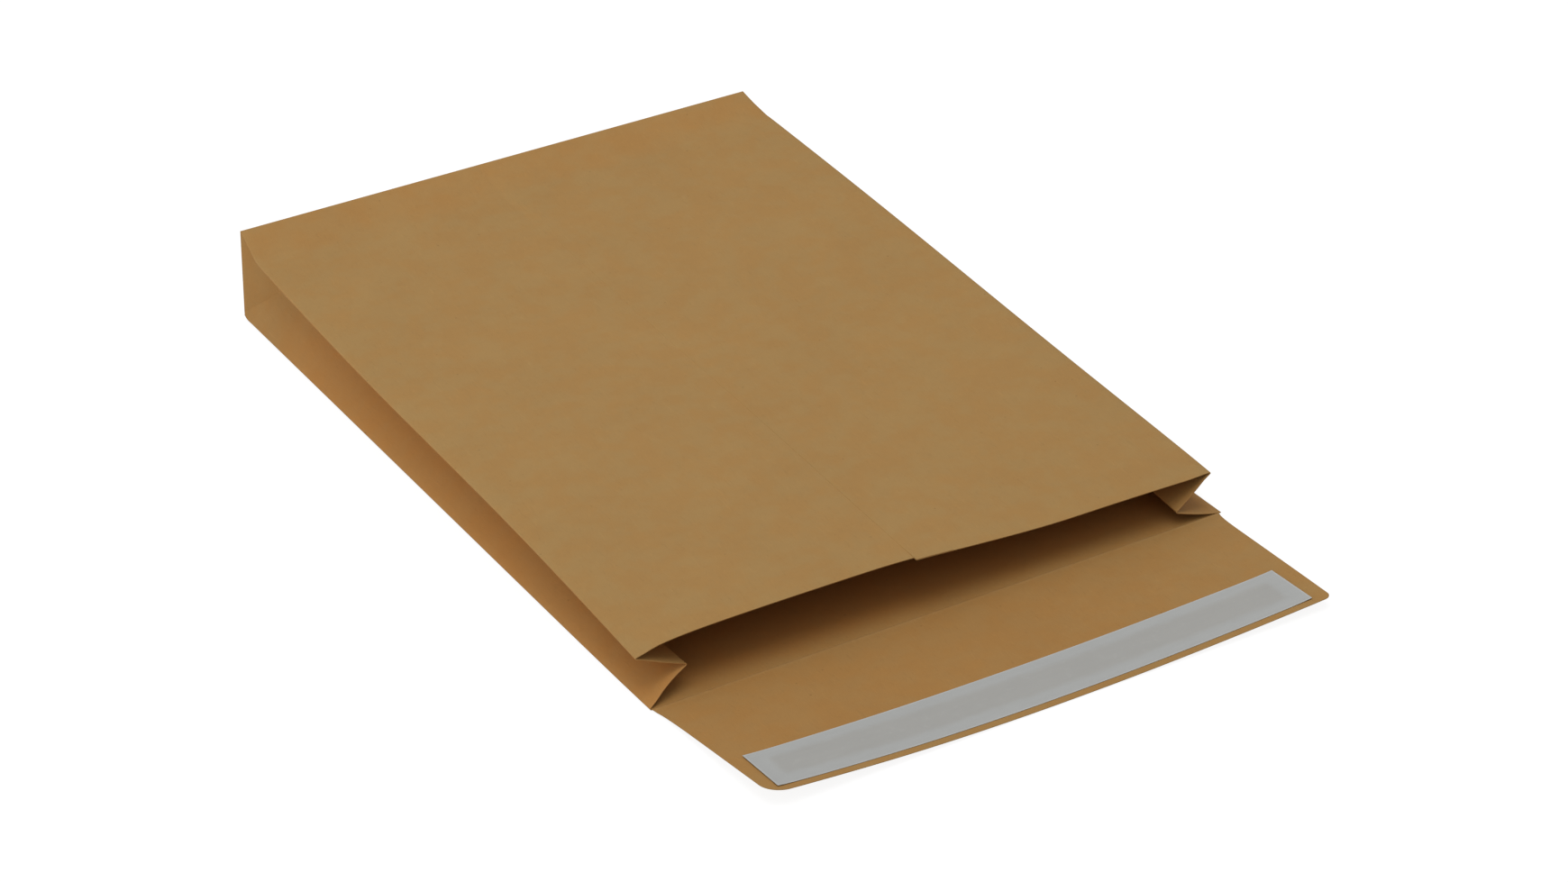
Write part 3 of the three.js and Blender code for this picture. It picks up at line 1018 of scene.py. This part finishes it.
FLOOR_SIZE = 6.0
FLOOR_DROP = 0.0004
FLOOR_GREY = 0.86
FLOOR_GLOW = 1.12
GLOW_SHARE = 0.80
WORLD_LIGHT = 0.50
WHITE = (1, 1, 1, 1)


def build_floor():
    size = FLOOR_SIZE
    mesh = bpy.data.meshes.new("floor")
    corners = [(-size, -size, 0), (size, -size, 0), (size, size, 0), (-size, size, 0)]
    mesh.from_pydata(corners, [], [(0, 1, 2, 3)])
    floor = bpy.data.objects.new("floor", mesh)
    floor.location.z = -FLOOR_DROP
    bpy.context.scene.collection.objects.link(floor)
    mesh.materials.append(floor_material())


def white_to_view(nodes):
    """1 for rays that see the background straight, in a mirror or through glass."""
    path = nodes.add("ShaderNodeLightPath")
    seen = nodes.math("MAXIMUM", path.outputs["Is Camera Ray"], path.outputs["Is Glossy Ray"])
    return nodes.math("MAXIMUM", seen, path.outputs["Is Transmission Ray"])


def floor_material():
    nodes = Nodes("studio_floor")
    diffuse = nodes.add("ShaderNodeBsdfDiffuse")
    diffuse.inputs["Color"].default_value = (FLOOR_GREY, FLOOR_GREY, FLOOR_GREY, 1)
    glow = nodes.add("ShaderNodeEmission")
    glow.inputs["Color"].default_value = WHITE
    glow.inputs["Strength"].default_value = FLOOR_GLOW
    mix = nodes.add("ShaderNodeMixShader")
    nodes.link(nodes.math("MULTIPLY", white_to_view(nodes), GLOW_SHARE), mix.inputs[0])
    nodes.link(diffuse.outputs[0], mix.inputs[1])
    nodes.link(glow.outputs[0], mix.inputs[2])
    nodes.link(mix.outputs[0], nodes.output.inputs["Surface"])
    return nodes.material


def build_world():
    world = bpy.data.worlds.new("studio")
    bpy.context.scene.world = world
    world.use_nodes = True
    tree = world.node_tree
    tree.nodes.clear()
    output = tree.nodes.new("ShaderNodeOutputWorld")
    background = tree.nodes.new("ShaderNodeBackground")
    path = tree.nodes.new("ShaderNodeLightPath")
    level = tree.nodes.new("ShaderNodeMapRange")
    level.inputs["To Min"].default_value = WORLD_LIGHT
    level.inputs["To Max"].default_value = 1.0
    tree.links.new(path.outputs["Is Camera Ray"], level.inputs["Value"])
    tree.links.new(level.outputs[0], background.inputs["Strength"])
    background.inputs["Color"].default_value = WHITE
    tree.links.new(background.outputs[0], output.inputs["Surface"])


# Each lamp is (name, place, size, power) and is aimed at the envelope's middle
LAMPS = (
    ("key", (-0.1, 0.1, 1.65), (1.6, 1.6), 13.4),
    ("fill", (-1.6, 0.55, 0.45), (1.5, 0.7), 5.2),
)


def soft_light(name, place, size, power):
    light = bpy.data.lights.new(name, "AREA")
    light.shape = "RECTANGLE"
    light.size, light.size_y = size
    light.energy = power
    lamp = bpy.data.objects.new(name, light)
    lamp.location = place
    lamp.rotation_euler = (-Vector(place)).to_track_quat("-Z", "Y").to_euler()
    bpy.context.scene.collection.objects.link(lamp)


CAMERA_EYE = Vector((-0.69978, -1.35423, 0.86166))
CAMERA_AIM = Vector((0.01381, -0.00096, 0.0))
CAMERA_ROLL = math.radians(-3.395)
CAMERA_LENS = 98.0
SENSOR_WIDTH = 36.0
CLIP_START = 0.05
CLIP_END = 50.0


def build_camera():
    data = bpy.data.cameras.new("photo_view")
    data.lens = CAMERA_LENS
    data.sensor_width = SENSOR_WIDTH
    data.clip_start = CLIP_START
    data.clip_end = CLIP_END
    camera = bpy.data.objects.new("photo_view", data)
    turn = (CAMERA_AIM - CAMERA_EYE).to_track_quat("-Z", "Y")
    camera.rotation_mode = "QUATERNION"
    camera.location = CAMERA_EYE
    camera.rotation_quaternion = turn @ Quaternion((0, 0, 1), CAMERA_ROLL)
    bpy.context.scene.collection.objects.link(camera)
    bpy.context.scene.camera = camera


# The scene

build_camera()
build_floor()
build_world()
for lamp_name, lamp_place, lamp_size, lamp_power in LAMPS:
    soft_light(lamp_name, lamp_place, lamp_size, lamp_power)

envelope = build_envelope(kraft_material())
adhesive = film(
    "adhesive_film",
    length=ADHESIVE_LENGTH,
    width=ADHESIVE_WIDTH,
    height=adhesive_height,
    thickness=ADHESIVE_THICKNESS,
    material=adhesive_material(),
    columns=60,
    rows=6,
)
liner = film(
    "liner_sheet",
    length=LINER_LENGTH,
    width=LINER_WIDTH,
    height=liner_height,
    thickness=LINER_THICKNESS,
    material=liner_material(),
    columns=150,
    rows=36,
)
for piece, node, slot in (
    (envelope, "folded_sheet", "kraft_paper"),
    (adhesive, "adhesive_strip", "adhesive"),
    (liner, "release_liner", "release_paper"),
):
    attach(piece, "root")
    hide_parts(node)

scene = bpy.context.scene
scene.view_settings.view_transform = "Standard"
